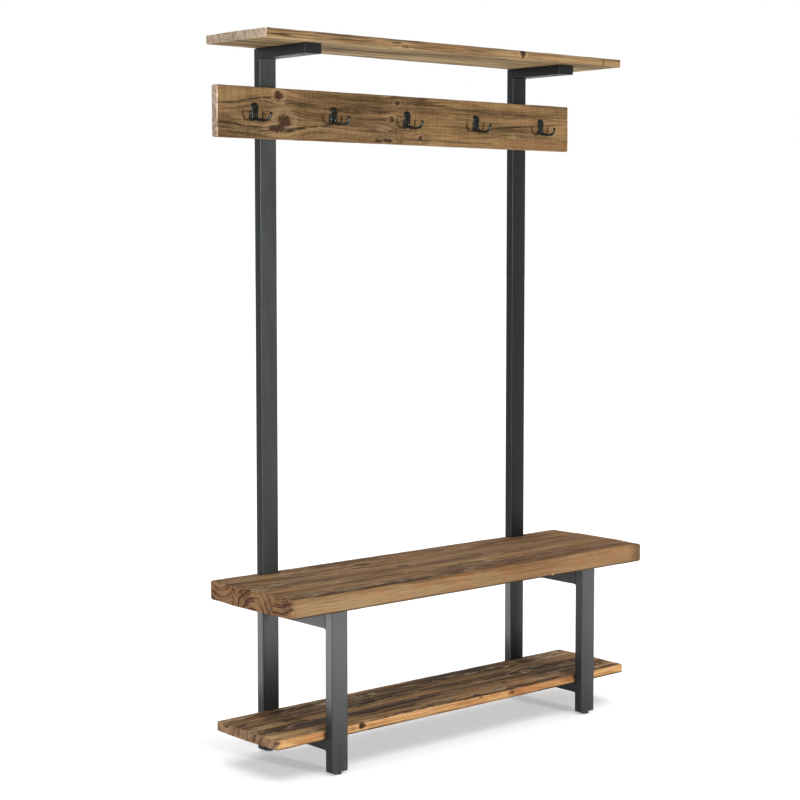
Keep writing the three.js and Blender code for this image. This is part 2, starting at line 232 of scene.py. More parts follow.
class Finish:
    """A material in the making, or a world's light."""

    def __init__(self, name, world=None):
        self.material = world or bpy.data.materials.new(name)
        self.material.use_nodes = True
        self.tree = self.material.node_tree
        self.tree.nodes.clear()
        self.place = self.out(self.node("TexCoord"), "Object")

    def node(self, kind, sockets=None, **settings):
        made = self.tree.nodes.new("ShaderNode" + kind)
        for name, value in settings.items():
            setattr(made, name, value)
        for key, value in (sockets or {}).items():
            if isinstance(value, Wire):
                self.tree.links.new(value.socket, made.inputs[key])
            else:
                made.inputs[key].default_value = value
        return made

    def out(self, made, key=0):
        return Wire(self, made.outputs[key])

    def math(self, operation, *values):
        return self.out(self.node("Math", dict(enumerate(values)), operation=operation))

    def larger(self, one, other):
        return self.math("MAXIMUM", one, other)

    def rise(self, value, start, end):
        """0 below start and 1 above end, with a smooth step between; start may be the larger."""
        sockets = {"Value": value, "From Min": start, "From Max": end}
        return self.out(self.node("MapRange", sockets, interpolation_type="SMOOTHSTEP"))

    def split(self, vector):
        made = self.node("SeparateXYZ", {0: vector})
        return [self.out(made, i) for i in range(3)]

    def noise(self, stretch, drift, detail=2.0, rough=0.5, colour=False, place=None):
        """Noise of about one bump a unit after the place is stretched, from 0 to 1; the drift moves it."""
        sockets = {"Vector": place or self.place, "Location": (drift, 1.7 * drift, -0.6 * drift), "Scale": stretch}
        mapped = self.out(self.node("Mapping", sockets))
        sockets = {"Vector": mapped, "Scale": 1, "Detail": detail, "Roughness": rough}
        made = self.node("TexNoise", sockets)
        return self.out(made, "Color" if colour else 0)

    def near_faces(self, value, low, high, start, full):
        """1 near the two faces at low and high, from a depth of full outwards, and 0 deeper than start."""
        return self.larger(self.rise(value, low + start, low + full), self.rise(value, high - start, high - full))

    def blend(self, factor, one, other):
        """Colour one where the factor is 0, and other where it is 1."""
        made = self.node("Mix", {0: factor, 6: one, 7: other}, data_type="RGBA")
        return self.out(made, 2)

    def between(self, amount, tones, start=0.0, end=1.0):
        """The first tone where the amount is at start, and the second where it is at end."""
        return self.blend(self.rise(amount, start, end), *(tone(*levels) for levels in tones))

    def bump(self, height, depth, strength=1.0):
        sockets = {"Height": height, "Distance": depth, "Strength": strength}
        return self.out(self.node("Bump", sockets))

    def done(self, **sockets):
        """Ends the material with the Principled shader."""
        names = {name.replace("_", " "): value for name, value in sockets.items()}
        shader = self.node("BsdfPrincipled", names)
        self.node("OutputMaterial", {"Surface": self.out(shader)})
        return self.material


# ---- Wood ----

HEARTWOOD = tone(72, 48, 32)
PITCH = tone(36, 27, 19)
RED_BROWN = tone(112, 72, 46)
DIRT = tone(50, 35, 21)
TAR = tone(36, 29, 18)
RUST = tone(122, 74, 46)
AMBER = tone(146, 91, 52)
PALE = tone(198, 172, 138)

# Noises of the wood: bumps per metre along the board and across it, shift from the stave's drift, detail and
# roughness. The bent ones follow the grain.
PLAIN_NOISES = {
    "bend": (1.5, 9, 23, 1, 0.5),  # slow bends of the grain
    "waver": (6, 26, 25, 1, 0.5),  # short bends of the grain
    "crumb": (85, 120, 17, 3, 0.6),  # frays every border
    "blush": (9, 34, 37, 3, 0.5),  # amber patches on the edges
    "patch": (4, 26, 13, 1, 0.5),  # where the faces are scratched
    "kerf": (260, 14, 21, 2, 0.5),  # the saw's marks across a board
    "pores": (240, 330, 35, 1, 0.5),
    "fleck": (200, 260, 31, 2, 0.5),  # pitch inside the knots
}
BENT_NOISES = {
    "sway": (1.3, 7, 0, 1.5, 0.5),  # wander of the heart line
    "ripple": (7, 45, 3, 2.5, 0.5),  # waves in the rings
    "fibre": (9, 420, 5, 3, 0.65),
    "cloud": (2.2, 16, 7, 3, 0.5),
    "broad": (1.3, 34, 8, 2.5, 0.55),
    "streak": (2.1, 105, 9, 3, 0.6),
    "thread": (4.5, 290, 15, 2, 0.55),
    "line": (1.5, 58, 27, 2, 0.5),
    "hair": (2.4, 170, 29, 2, 0.5),
    "nick": (20, 95, 11, 2, 0.7),
    "rusty": (2.8, 30, 19, 2, 0.5),
}

# Layers of colour: the two values of a noise between which a layer sets in.
EDGE_RUST = (0.56, 0.72)
EDGE_AMBER = (0.48, 0.62)
FACE_RUST = (0.53, 0.68)
DIRT_STREAKS = (0.56, 0.62)
DIRT_THREADS = (0.59, 0.66)
TAR_LINES = (0.03, 0.004)  # thin lines lie where their noise crosses its middle
DIRT_HAIRS = (0.04, 0.01)
DARK_CLOUDS = (0.4, 0.55)
DARK_BANDS = (0.42, 0.54)
SCRATCHES = (0.53, 0.59)
SCRATCHED_PATCHES = (0.43, 0.55)
SAW_MARKS = (0.45, 0.7)
PORES = (0.54, 0.64)
PORED_CLOUDS = (0.35, 0.6)
CHECKS = (0.965, 0.998)  # of a sine round the heart
CHECKED_CLOUDS = (0.48, 0.56)
RIM_SHADE_CLOUDS = (0.4, 0.6)
GLUED_CLOUDS = (0.38, 0.56)
PITCH_FLECKS = (0.44, 0.58)
PALE_NICKS = (0.46, 0.56)
RUDDY_SPAN = (-0.5, 0.6)  # metres along the board

# Depths under a surface at which a layer ends and at which it is full.
SKIN = (3 * MM, 1 * MM)
UNDERSIDE = (4 * MM, 3 * MM)
CUT_END = (4 * MM, 2.4 * MM)
GLUE_JOINT = (1.7 * MM, 0.3 * MM)

# Marks: how far ripple and crumb fray the outline, and from where to where it fades, in half sizes of the mark.
FRAYING = {
    "knot": {"crumb": 1.2, "ripple": 1.2},
    "streak": {"ripple": 1.4, "crumb": 0.8},
    "flush": {"ripple": 1.8, "crumb": 1.2},
    "pale": {"ripple": 1.6, "crumb": 1.6},
}
FADING = {"knot": (1.35, 0.7), "streak": (1.25, 0.4), "flush": (1.3, 0.2), "pale": (1.2, 0.2)}


class Grain:
    """The noises of one stave, each made when it is first asked for."""

    def __init__(self, finish, drift):
        self.finish = finish
        self.drift = drift
        self.bent_place = None

    def make(self, name, colour=False):
        bent = name in BENT_NOISES
        along, across, shift, detail, rough = (BENT_NOISES if bent else PLAIN_NOISES)[name]
        place = self.bent_place if bent else None
        return self.finish.noise((along, across, across), self.drift + shift, detail, rough, colour, place)

    def __getattr__(self, name):
        made = self.make(name)
        setattr(self, name, made)
        return made

    def wobble(self, **reaches):
        """The sum of several noises, each centred on 0 and as strong as its reach."""
        total = 0
        for name, reach in reaches.items():
            total = (getattr(self, name) - 0.5) * reach + total
        return total

    def crossing(self, name, start, end):
        """Thin lines where a noise crosses its middle."""
        return self.finish.rise(self.finish.math("ABSOLUTE", getattr(self, name) - 0.5), start, end)


def bend_grain(f, grain, axes, cross, marks):
    """Leads the grain round the knots and lets it wander."""
    reach_along, reach_across, pinch = 2.6, 2.4, 0.8  # reach in half sizes of a knot
    slow, short = 30 * MM, 9 * MM
    for kind, at, size, _, _ in marks:
        if kind in ("knot", "bend"):
            away = axes[cross] - at[cross]
            reach = ((axes[0] - at[0]) / (reach_along * size[0])) ** 2 + (away / (reach_across * size[cross])) ** 2
            axes[cross] = axes[cross] - away * math.e ** (0 - reach) * pinch
    bend = f.split(grain.make("bend", colour=True))
    waver = f.split(grain.make("waver", colour=True))
    for i in (1, 2):
        axes[i] = axes[i] + (bend[i] - 0.5) * slow + (waver[i] - 0.5) * short
    grain.bent_place = f.out(f.node("CombineXYZ", dict(enumerate(axes))))
    return axes


def show_marks(f, grain, place, cross, marks):
    """How much of each kind of mark shows, from 0 to 1."""
    shown = dict.fromkeys(FADING, 0)
    dots = f.rise(grain.fibre + grain.crumb * 0.7, 0.6, 0.85) * 0.5 + 0.5  # streaks break up into dots
    chips = f.rise(grain.nick, *PALE_NICKS) * 0.7 + 0.3
    for kind, at, size, strength, slope in marks:
        if kind == "bend":
            continue
        offset = [(place[i] - at[i]) / size[i] for i in range(3)]
        if slope:
            offset[cross] = offset[cross] - (place[0] - at[0]) * (slope / size[cross])
        away = (offset[0] ** 2 + offset[1] ** 2 + offset[2] ** 2) ** 0.5 + grain.wobble(**FRAYING[kind])
        rings = 0
        if kind == "knot":
            rings = f.math("SINE", away * 13) * 0.12
            halo = f.rise(away, 2.3, 1.5) * f.rise(away, 1.0, 1.4) * strength * 0.12
            shown["pale"] = f.larger(shown["pale"], halo)
        mark = f.rise(away + rings, *FADING[kind]) * strength
        if kind == "streak":
            mark = mark * dots
        if kind == "pale":
            mark = mark * chips
        shown[kind] = f.larger(shown[kind], mark)
    return shown


def edge_wood(f, grain, late, colours, stain):
    tint = late * 0.2 + grain.wobble(fibre=2.0, cloud=1.6, streak=0.8) + 0.32
    colour = f.between(tint, colours)
    colour = f.blend(f.rise(grain.streak, *EDGE_RUST) * stain * 0.5, colour, RUST)
    return f.blend(f.rise(grain.blush, *EDGE_AMBER) * (stain**3 * 0.6), colour, AMBER)


def face_wood(f, grain, late, colours, bold, sawn, under):
    """Broad bands, clouds and fibres; under is 1 on the underside, if that has its own colours."""
    tint = late * (0.35 * bold) + grain.wobble(broad=2.6 * bold, fibre=2.1 + 3 * sawn, cloud=1.2) + 0.35
    colour = f.between(tint, colours["face"])
    if "under" in colours:
        colour = f.blend(under, colour, f.between(tint, colours["under"]))
    return f.blend(f.rise(grain.rusty, *FACE_RUST) * (0.45 - sawn), colour, RUST)


def stain_face(f, grain, colour, stain, scratch, sawn):
    """Dirt in the grain, and what rubbing and sawing left on the faces."""
    clouded = f.rise(grain.cloud, *DARK_CLOUDS) * stain
    colour = f.blend(f.rise(grain.streak + grain.wobble(cloud=0.5), *DIRT_STREAKS) * (stain * 0.85), colour, DIRT)
    colour = f.blend(f.rise(grain.thread, *DIRT_THREADS) * clouded, colour, DIRT)
    colour = f.blend(grain.crossing("line", *TAR_LINES) * clouded, colour, TAR)
    banded = f.rise(grain.broad, *DARK_BANDS) * (stain * 0.85)
    colour = f.blend(grain.crossing("hair", *DIRT_HAIRS) * banded, colour, DIRT)
    if scratch:
        patches = f.rise(grain.patch, *SCRATCHED_PATCHES) * scratch
        colour = f.blend(f.rise(grain.nick, *SCRATCHES) * patches, colour, PALE)
    if sawn:
        colour = f.blend(f.rise(grain.kerf, *SAW_MARKS) * sawn, colour, DIRT)
        pored = f.rise(grain.cloud, *PORED_CLOUDS) * 0.75
        colour = f.blend(f.rise(grain.pores, *PORES) * pored, colour, DIRT)
    return colour


def end_wood(f, grain, late, turns, bearing, colours):
    """Rings on a cut end, with drying checks that run out from the heart."""
    soft = f.math("SINE", turns * 2.3) * 0.2
    tint = late * 0.55 + soft + grain.wobble(cloud=1.8, crumb=1.0) + 0.28
    spokes = f.math("SINE", bearing * 9 + grain.wobble(ripple=3))
    checks = f.rise(spokes, *CHECKS) * f.rise(grain.cloud, *CHECKED_CLOUDS) * 0.7
    return f.blend(checks, f.between(tint, colours), DIRT)


def timber(name, low, high, heart, drift, colours, ring, stain, flat=2, wander=18, scratch=0.0, sawn=0.0,
           bold=1.0, ruddy=0.0, grime=0.0, wrap=0.0, marks=()):
    """Solid wood between two corners, with growth rings round a heart line along X.

    heart is the line's (y, z), and flat is the axis that the two wide faces look along. colours names the
    light and dark of the faces, the edges, the ends and, if it differs, the underside. ring, wander, grime
    and wrap are in millimetres: a ring's width, how far the heart line wanders, the height of the painted
    shade along the lower rim, and how far the face's colour wraps over the edge. Each mark is (kind, place,
    half sizes, strength, slope), and its slope is the rise across the grain per length along it."""
    f = Finish(name)
    grain = Grain(f, drift)
    place = f.split(f.place)
    wide = place[flat]
    _, across, up = bend_grain(f, grain, list(place), 3 - flat, marks)
    shown = show_marks(f, grain, place, 3 - flat, marks)

    sway = f.split(grain.make("sway", colour=True))
    side = across - heart[0] + (sway[0] - 0.5) * (2 * wander * MM)
    rise = up - heart[1] + (sway[1] - 0.5) * (2 * wander * MM)
    radius = (side * side + rise * rise) ** 0.5 + grain.wobble(ripple=6 * MM, crumb=1.2 * MM)
    turns = radius / (ring * MM)
    year = f.out(f.node("TexWhiteNoise", {"W": f.math("FLOOR", turns)}, noise_dimensions="1D"))
    band = f.math("FRACT", turns)
    late = f.rise(band, 0.1, 0.8) * f.rise(band, 1.0, 0.86) * (year * 0.8 + 0.3)  # late wood, darker in some years

    frayed = grain.wobble(ripple=2.4, crumb=1.2)
    skin = f.rise(f.near_faces(wide, low[flat], high[flat], *SKIN) + frayed * 0.45, 0.4, 0.6)
    length = f.math("ABSOLUTE", place[0]) + frayed * (2 * MM)
    ends = f.rise(length, high[0] - CUT_END[0], high[0] - CUT_END[1])
    under = f.rise(wide, low[flat] + UNDERSIDE[0], low[flat] + UNDERSIDE[1])

    edge = edge_wood(f, grain, late, colours["edge"], stain)
    face = stain_face(f, grain, face_wood(f, grain, late, colours, bold, sawn, under), stain, scratch, sawn)
    colour = f.blend(skin, edge, face)
    if wrap:
        rim = high[flat] - 1.4 * wrap * MM
        brim = f.rise(wide + frayed * (4 * MM), rim, rim + 0.9 * wrap * MM)
        colour = f.blend(brim * (1 - ends) * 0.4, colour, face)
    if ruddy:
        colour = f.blend(f.rise(place[0], *RUDDY_SPAN) * ruddy, colour, RED_BROWN)
    # Painted shade: a dark line along the board's lower rim, where the rounded bottom edge turns under
    if grime:
        rim = low[2] + grime * MM
        painted_shade = f.rise(place[2] + frayed * (0.6 * MM), rim + 1.5 * MM, rim)
        colour = f.blend(painted_shade * (f.rise(grain.cloud, *RIM_SHADE_CLOUDS) * 0.3 + 0.62), colour, TAR)
    colour = f.blend(ends, colour, end_wood(f, grain, late, turns, f.math("ARCTAN2", rise, side), colours["end"]))
    colour = f.blend(shown["flush"], colour, RUST)
    colour = f.blend(shown["pale"], colour, PALE)
    colour = f.blend(shown["streak"], colour, TAR)
    colour = f.blend(shown["knot"], colour, f.blend(f.rise(grain.fleck, *PITCH_FLECKS), HEARTWOOD, PITCH))
    if flat == 2:
        joint = f.near_faces(place[1], low[1], high[1], *GLUE_JOINT)
        colour = f.blend(joint * skin * (f.rise(grain.cloud, *GLUED_CLOUDS) * 0.7 + 0.2), colour, TAR)

    sound = 1 - f.larger(shown["knot"], shown["streak"])
    height = late * 0.35 + grain.fibre * 0.5 + grain.streak * 0.4 + grain.crumb * 0.2 + sound * 0.5
    rough = f.rise(grain.fibre, 0.2, 0.9) * 0.14 + 0.7
    return f.done(Base_Color=colour, Roughness=rough, Normal=f.bump(height, 0.7 * MM, 0.6), Specular_IOR_Level=0.1)


# ---- Boards ----

LOOP_STEP = 12 * MM  # between the loops of edges along a board
EASE_STEPS = 3
CORNER_STEPS = 4
GROOVE = 0.35 * MM  # between two glued staves
WEAR_DEPTH = 1.4 * MM
WEAR_SIZE = 45 * MM
RIM = 1.2  # how far the worn rim reaches, in radii of the eased edge


def span(names):
    """The box round several CAD nodes."""
    boxes = [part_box(name) for name in names]
    low = Vector(min(box[0][i] for box in boxes) for i in range(3))
    high = Vector(max(box[1][i] for box in boxes) for i in range(3))
    return low, high


def saw_loops(piece, low, high):
    """Even loops of edges along a board, for the wear to bend."""
    count = round((high.x - low.x) / LOOP_STEP)
    saw(piece, 0, [low.x + (i + 0.5) * (high.x - low.x) / count for i in range(count)])


def plank(node, board_low, board_high, ease, corner, material, notches=(), notch_floor=0):
    """One stave of a board in place of its CAD node, eased where it is the board's own edge."""
    low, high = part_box(node)
    outer = [y for y in (low.y, high.y) if near(y, board_low.y, board_high.y)]
    inner = [y for y in (low.y, high.y) if y not in outer]
    lipped = [low.z, high.z]
    if notches:
        piece = block(node + "_wood", low, (high.x, notch_floor, high.z))
        saw(piece, 0, [x for notch in notches for x in notch])
        pull(piece, (0, high.y - notch_floor, 0),
             lambda place, normal: normal.y > 0.5 and not any(a < place.x < b for a, b in notches))
    else:
        piece = block(node + "_wood", low, high)
    if inner:
        bevel(piece, GROOVE, 1, lambda place, way: near(place.y, *inner) and near(place.z, *lipped))
    bevel(piece, corner, CORNER_STEPS,
          lambda place, way: abs(way.z) > 0.9 and near(place.x, low.x, high.x) and near(place.y, *outer))
    bevel(piece, ease, EASE_STEPS,
          lambda place, way: near(place.z, *lipped) and abs(way.z) < 0.1 and not near(place.y, *inner, slack=MM)
          and (abs(way.x) < 0.9 or not near(place.y, *inner)))
    saw_loops(piece, low, high)

    def weight(place):
        if near(place.y, *inner):
            return 0
        edge = any(abs(place.y - y) < RIM * ease for y in outer) or abs(place.x) > high.x - RIM * corner
        lip = min(abs(place.z - low.z), abs(place.z - high.z)) < RIM * ease
        return 1 if edge and lip else 0.3

    wear(piece, node + "_wear", WEAR_DEPTH, WEAR_SIZE, weight)
    return finish_piece(piece, material, replaced=[node])


# Display colours of each board, the light wood first.
SEAT = {"face": [(154, 121, 82), (82, 58, 36)], "edge": [(143, 118, 85), (108, 83, 56)],
        "end": [(186, 141, 98), (97, 61, 39)]}
LOWER = {"face": [(195, 151, 103), (90, 65, 42)], "edge": [(194, 152, 101), (132, 89, 50)],
         "end": [(196, 156, 118), (110, 80, 56)]}
UPPER = {"face": [(158, 132, 98), (104, 84, 60)], "edge": [(144, 117, 82), (88, 68, 44)],
         "end": [(240, 218, 192), (192, 166, 138)], "under": [(186, 160, 118), (124, 102, 70)]}
RAIL = {"face": [(135, 107, 72), (83, 63, 39)], "edge": [(180, 148, 110), (128, 96, 64)],
        "end": [(226, 204, 180), (176, 150, 122)]}

MARK_DEPTH = 15 * MM
STAVE_SHIFT = 4.3  # sets the noises of neighbouring staves apart


def on_top(level, rows):
    """Marks on a face that looks up or down."""
    return [(kind, (x * MM, y * MM, level), (length * MM, width * MM, MARK_DEPTH), strength, slope)
            for kind, x, y, length, width, strength, slope in rows]


def on_front(level, rows):
    """Marks on a face that looks forwards."""
    return [(kind, (x * MM, level, z * MM), (length * MM, MARK_DEPTH, width * MM), strength, slope)
            for kind, x, z, length, width, strength, slope in rows]


def trail(width, strength, *points):
    """Rows of streaks that follow a line of points and overlap a little."""
    rows = []
    for (x, z), (next_x, next_z) in zip(points, points[1:]):
        half = 0.62 * math.hypot(next_x - x, next_z - z)
        slope = (next_z - z) / (next_x - x)
        rows.append(("streak", (x + next_x) / 2, (z + next_z) / 2, half, width, strength, slope))
    return rows


# Marks of the boards, one list for each stave, the front one first. A row is (kind, x, y or z, half length,
# half width, strength, slope) in millimetres.
SEAT_TOPS = [
    [
        *trail(2.7, 0.94, (-505, -160), (-430, -165), (-290, -163), (-200, -160)),
        *trail(3.4, 0.84, (-110, -100), (-78, -112), (-27, -98)),
        *trail(2.7, 0.89, (190, -157), (308, -142), (457, -124), (606, -134)),
    ],
    [
        *trail(2.7, 0.94, (-506, -70), (-390, -71), (-290, -68), (-180, -84)),
        ("knot", -118, 2, 24, 8, 1.0, 0),
        *trail(2.7, 0.84, (-112, -8), (-90, -40)),
        ("pale", 182, -26, 66, 5, 0.9, 0),
        ("pale", 385, -42, 90, 5, 0.6, 0),
        ("pale", 115, -62, 30, 5, 0.7, 0),
        *trail(2.7, 0.84, (480, 2), (609, 5)),
    ],
    trail(2, 0.94, (-560, 63), (-477, 66), (-400, 60)),
    [
        *trail(3.4, 0.89, (-226, 132), (-200, 108)),
        ("knot", -188, 88, 24, 10, 1.0, 0),
        *trail(4.1, 0.89, (86, 121), (167, 127), (259, 124), (338, 120)),
        *trail(4.8, 0.74, (250, 98), (344, 114)),
    ],
]
SEAT_FRONT = [
    ("flush", 79, 421, 10, 6, 0.4, 0),
    ("pale", 258, 414, 5, 4, 0.4, 0),
    ("streak", 600, 434, 36, 40, 0.5, 0),
]
LOWER_TOPS = [
    [
        *trail(4.5, 0.63, (-560, -8), (-504, -7), (-437, -9), (-369, -13), (-302, -22)),
        *trail(6, 0.59, (-304, -28), (-264, -38), (-159, -29), (-25, -21)),
        *trail(3.8, 0.53, (-124, -94), (-9, -91), (97, -95)),
        ("knot", 205, -36, 10, 6, 1.0, 0),
        ("knot", 258, -18, 8, 5, 0.9, 0),
        *trail(4.5, 0.56, (324, -51), (401, -49), (480, -53)),
        ("pale", -87, -55, 50, 8, 0.9, 0),
        ("pale", 25, -17, 40, 7, 0.9, 0),
    ],
    [
        *trail(5.2, 0.66, (-505, 76), (-437, 71), (-311, 59)),
        *trail(5.2, 0.66, (-264, 18), (-161, 43), (-44, 66), (58, 73)),
        *trail(3, 0.66, (100, 75), (160, 81)),
        *trail(3.8, 0.59, (293, 80), (362, 78)),
        ("pale", 20, 34, 56, 8, 0.9, 0),
        ("pale", 450, 74, 80, 5, 0.9, 0),
        ("pale", -380, 24, 50, 6, 0.6, 0),
    ],
    [
        ("knot", -443, 115, 20, 9, 1.0, 0),
        *trail(5.2, 0.66, (-600, 98), (-545, 88)),
        *trail(3, 0.66, (205, 87), (300, 88)),
        *trail(4.5, 0.56, (221, 111), (308, 117), (383, 122)),
        ("pale", -122, 92, 46, 6, 0.9, 0),
        ("pale", -16, 100, 50, 7, 1.0, 0),
        ("pale", 507, 92, 60, 6, 0.9, 0),
    ],
]
LOWER_FRONT = [
    ("knot", -345, 98, 13, 9, 1.0, 0),
    ("knot", 173, 99, 11, 6, 0.7, 0),
    ("flush", 180, 98, 34, 9, 0.7, 0),
    ("flush", 2, 98, 30, 6, 0.6, 0),
    ("flush", 396, 102, 46, 10, 0.75, 0),
    ("flush", -372, 97, 24, 7, 0.6, 0),
    ("flush", -466, 98, 20, 8, 0.6, 0),
    ("flush", 290, 92, 30, 4, 0.4, 0),
    ("streak", 412, 104, 10, 8, 0.7, 0),
    ("streak", -606, 102, 10, 6, 0.8, 0),
    ("knot", 60, 104, 6, 3, 0.7, 0),
]
UPPER_FRONT = [
    *trail(2.5, 0.9, (-602, 1774), (-544, 1773)),
    ("streak", -209, 1778, 16, 2.5, 0.8, 0),
    ("knot", -182, 1770, 9, 5, 0.4, 0),
    ("knot", 228, 1779, 9, 11, 1.0, 0),
    ("streak", 537, 1778, 3, 14, 0.7, 0),
    *trail(2, 0.6, (-500, 1786), (-300, 1784), (-100, 1786)),
    *trail(2, 0.6, (280, 1783), (430, 1780)),
    *trail(1.5, 0.8, (-606, 1784), (-480, 1782), (-330, 1784)),
    *trail(1.5, 0.7, (-560, 1778), (-430, 1776), (-300, 1775)),
]
UPPER_UNDERSIDE = trail(8, 0.7, (-356, 31), (-204, 37), (-32, 33))
RAIL_FRONT = [
    *trail(2.5, 0.95, (-604, 1626), (-546, 1630), (-522, 1637), (-472, 1643), (-436, 1647)),
    ("knot", -421, 1650, 14, 12, 1.0, 0),
    *trail(8, 0.75, (-400, 1637), (-296, 1626), (-131, 1622), (-29, 1627)),
    ("knot", -406, 1589, 23, 17, 1.0, 0),
    ("knot", -427, 1569, 27, 10, 1.0, 0),
    ("bend", -500, 1606, 30, 14, 1.0, 0),
    ("pale", -420, 1608, 26, 5, 0.3, 0),
    *trail(3, 0.85, (-604, 1580), (-565, 1578), (-526, 1571), (-456, 1571)),
    *trail(2.5, 0.75, (-604, 1569), (-546, 1563), (-498, 1560), (-448, 1563)),
    *trail(2, 0.6, (-598, 1557), (-471, 1555), (-441, 1558)),
    *trail(7, 0.9, (-408, 1560), (-366, 1571)),
    *trail(4.5, 1.0, (-374, 1570), (-326, 1577)),
    *trail(2.5, 1.0, (-332, 1576), (-292, 1580), (-250, 1584)),
    ("knot", -33, 1650, 9, 6, 0.9, 0),
    ("knot", -52, 1608, 9, 9, 0.9, 0),
    ("pale", -78, 1582, 26, 9, 0.3, 0),
    *trail(4, 0.9, (-110, 1549), (-86, 1550)),
    ("knot", -66, 1552, 16, 5, 1.0, 0),
    *trail(3, 0.7, (66, 1651), (126, 1649)),
    *trail(3, 0.55, (180, 1641), (300, 1639), (450, 1638)),
    ("knot", 47, 1562, 7, 6, 0.9, 0),
    *trail(4, 0.6, (-24, 1555), (100, 1558), (230, 1554)),
    *trail(2, 0.9, (307, 1597), (422, 1606), (491, 1611), (607, 1619)),
    ("pale", 387, 1577, 24, 8, 0.2, 0),
]


def glued_board(slot, colours, tops, fronts, staves, ease, corner, drift, underside=False, notches=(), floor=0,
                **looks):
    """A board of glued staves, each given as (its heart line, its rings' width), the front one first."""
    names = [f"{slot}_stave_{i + 1}" for i in range(len(staves))]
    low, high = span(names)
    marks = [on_top(low.z if underside else high.z, rows) for rows in tops]
    marks[0] = marks[0] + on_front(low.y, fronts)
    for i, (name, (heart, ring)) in enumerate(zip(names, staves)):
        wood = timber(f"{slot}_wood_{i + 1}", *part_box(name), heart, drift + STAVE_SHIFT * i, colours, ring=ring,
                      marks=marks[i], **looks)
        last = i == len(names) - 1
        plank(name, low, high, ease, corner, wood, notches if last else (), floor)


def seat():
    """The seat's rearmost stave is notched round the posts."""
    play, depth_play = 2 * MM, 1 * MM
    posts = [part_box(f"{side}_post") for side in SIDES]
    staves = [((-0.115, 0.555), 7), ((-0.012, 0.39), 8), ((-0.10, 0.62), 5.5), ((0.125, 0.474), 6.5)]
    glued_board("seat", SEAT, SEAT_TOPS, SEAT_FRONT, staves, 6 * MM, 11 * MM, 0,
                notches=[(low.x - play, high.x + play) for low, high in posts], floor=posts[0][0].y - depth_play,
                stain=0.8, scratch=0.35, bold=0.6, ruddy=0.4, grime=4.5, wrap=14)


def shelves():
    staves = [((-0.16, 0.04), 8), ((-0.25, 0.11), 6), ((0.11, 0.13), 8)]
    glued_board("shelf", LOWER, LOWER_TOPS, LOWER_FRONT, staves, 2.5 * MM, 8 * MM, 31,
                stain=0.95, scratch=0.9, grime=4)
    staves = [((-0.16, 1.90), 6), ((0.30, 1.70), 6), ((0.07, 1.83), 6), ((0.40, 1.62), 7)]
    glued_board("top_shelf", UPPER, [[], UPPER_UNDERSIDE, UPPER_UNDERSIDE, []], UPPER_FRONT, staves, 2.5 * MM,
                8 * MM, 57, underside=True, stain=0.55, scratch=0.15)


def hook_rail():
    ease, round_corner = 3 * MM, 5 * MM
    low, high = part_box("hook_rail")
    wood = timber("rail_wood", low, high, (0.155, 1.603), 83, RAIL, ring=7, flat=1, wander=10, stain=0.35,
                  sawn=0.24, bold=0.42, marks=on_front(low.y, RAIL_FRONT))
    piece = block("hook_rail_wood", low, high)
    bevel(piece, round_corner, CORNER_STEPS, lambda place, way: abs(way.y) > 0.9)
    bevel(piece, ease, EASE_STEPS, lambda place, way: near(place.y, low.y, high.y) and abs(way.y) < 0.1)
    saw_loops(piece, low, high)

    def weight(place):
        edge = near(place.z, low.z, high.z, slack=ease) or abs(place.x) > high.x - round_corner
        return 1 if edge else 0.25

    wear(piece, "rail_wear", WEAR_DEPTH, WEAR_SIZE, weight)
    finish_piece(piece, wood, replaced=["hook_rail"])


# ---- Steel ----


